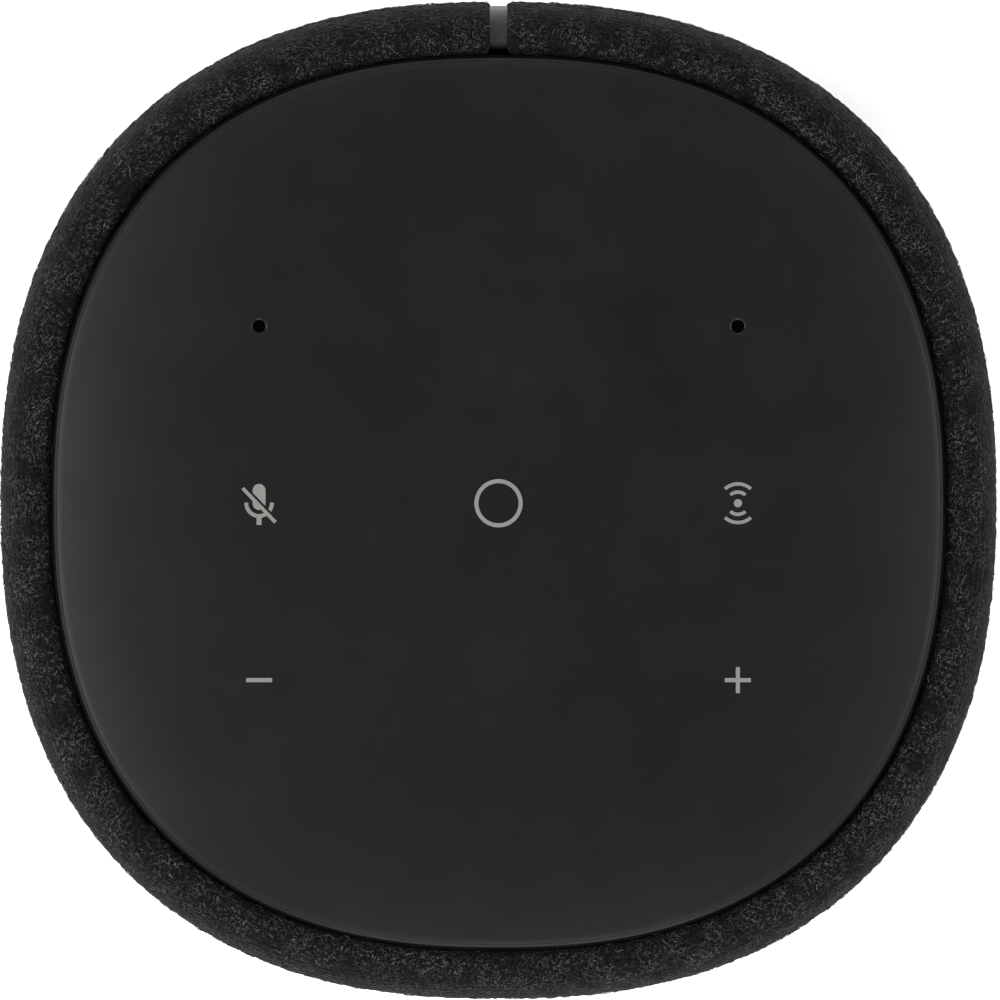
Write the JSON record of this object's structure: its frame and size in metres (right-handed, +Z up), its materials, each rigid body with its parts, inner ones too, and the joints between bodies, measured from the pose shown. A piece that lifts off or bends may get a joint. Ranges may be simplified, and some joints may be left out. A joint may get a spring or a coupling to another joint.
{
  "type": "smart home hub",
  "caption": "Upright rounded-square voice hub with a fabric sleeve, a domed touch panel, a rear seam strip and an internal loudspeaker.",
  "frame": {"origin": "centre of the footprint on the table", "axes": "+Z up, -Y towards the front where the drivers face, +Y towards the rear seam and the sockets"},
  "size_m": [0.14, 0.14, 0.1881],
  "materials": {
    "panel": "satin, fine spark texture",
    "legend": "matt printed light grey",
    "acoustic_mesh": "fine black woven mesh",
    "soft_rubber": "matt moulded silicone",
    "sensor_can": "nickel plated",
    "light_guide": "frosted clear",
    "touch_film": "amber film with copper tracks",
    "circuit_board": "green solder mask",
    "led": "yellow phosphor in a white body",
    "screw_steel": "zinc plated",
    "ribbon": "white flat cable",
    "inner_plastic": "black moulded, fine texture",
    "wool_fabric": "charcoal wool-blend weave",
    "spine_trim": "satin",
    "base_plastic": "black moulded, spark texture",
    "foot_rubber": "matt",
    "socket_plastic": "black semi-gloss",
    "plated_pin": "nickel plated brass",
    "plated_can": "tin plated",
    "lead_insulation": "soft insulation",
    "component_body": "moulded component bodies",
    "ferrite": "sintered dark grey",
    "heatsink": "extruded, clear anodised",
    "antenna_foil": "bare foil",
    "cabinet_plastic": "glass-filled moulding",
    "foam_rubber": "closed-cell foam strip",
    "wadding": "white polyester wadding",
    "basket_steel": "black powder coat",
    "plated_steel": "zinc plated",
    "spider_cloth": "resin-stiffened woven cotton",
    "surround_rubber": "matt",
    "cone_paper": "black coated pulp",
    "coil_former": "aluminium former with enamelled copper wire",
    "dome_silk": "doped silk"
  },
  "bodies": {
    "hub": {"top_panel": "panel", "icon_mic_mute": "legend", "icon_action_ring": "legend", "icon_wireless": "legend", "icon_volume_down": "legend", "icon_volume_up": "legend", "mic_mesh_left": "acoustic_mesh", "mic_mesh_right": "acoustic_mesh", "mic_boot_left": "soft_rubber", "mic_boot_right": "soft_rubber", "microphones": "sensor_can", "light_guide": "light_guide", "touch_film": "touch_film", "touch_board": "circuit_board", "touch_leds": "led", "touch_board_screws": "screw_steel", "ribbon_cable": "ribbon", "top_carrier": "inner_plastic", "carrier_screws": "screw_steel", "fabric_sleeve": "wool_fabric", "grille_frame": "inner_plastic", "rear_spine": "spine_trim", "base_cover": "base_plastic", "foot_ring": "foot_rubber", "base_screws": "screw_steel", "port_plate": "base_plastic", "inlet_socket": "socket_plastic", "inlet_pins": "plated_pin", "service_socket": "plated_can", "mains_leads": "lead_insulation", "supply_board": "circuit_board", "supply_parts": "component_body", "supply_transformer": "ferrite", "supply_harness": "lead_insulation", "main_board": "circuit_board", "main_board_parts": "component_body", "shield_can": "plated_can", "heat_spreader": "heatsink", "board_screws": "screw_steel", "antennas": "antenna_foil", "cabinet_front": "cabinet_plastic", "cabinet_rear": "cabinet_plastic", "cabinet_gasket": "foam_rubber", "cabinet_screws": "screw_steel", "bass_port": "inner_plastic", "damping_pad": "wadding", "speaker_leads": "lead_insulation", "woofer_basket": "basket_steel", "woofer_gasket": "foam_rubber", "woofer_screws": "screw_steel", "woofer_top_plate": "plated_steel", "woofer_magnet": "ferrite", "woofer_yoke": "plated_steel", "woofer_spider": "spider_cloth", "woofer_surround": "surround_rubber", "tweeter_motor": "plated_steel", "tweeter_faceplate": "inner_plastic"},
    "woofer_piston": {"woofer_cone": "cone_paper", "woofer_coil": "coil_former"},
    "tweeter_diaphragm": {"tweeter_dome": "dome_silk"}
  },
  "joints": [
    {"name": "woofer_stroke", "type": "slide", "parent": "hub", "child": "woofer_piston", "axis": [0, -1, 0], "range_m": [-0.003, 0.003], "stiffness_N_per_m": 1000, "deforming": ["woofer_surround", "woofer_spider"]},
    {"name": "tweeter_stroke", "type": "slide", "parent": "hub", "child": "tweeter_diaphragm", "axis": [0, -1, 0], "range_m": [-0.00025, 0.00025], "stiffness_N_per_m": 3000}
  ]
}
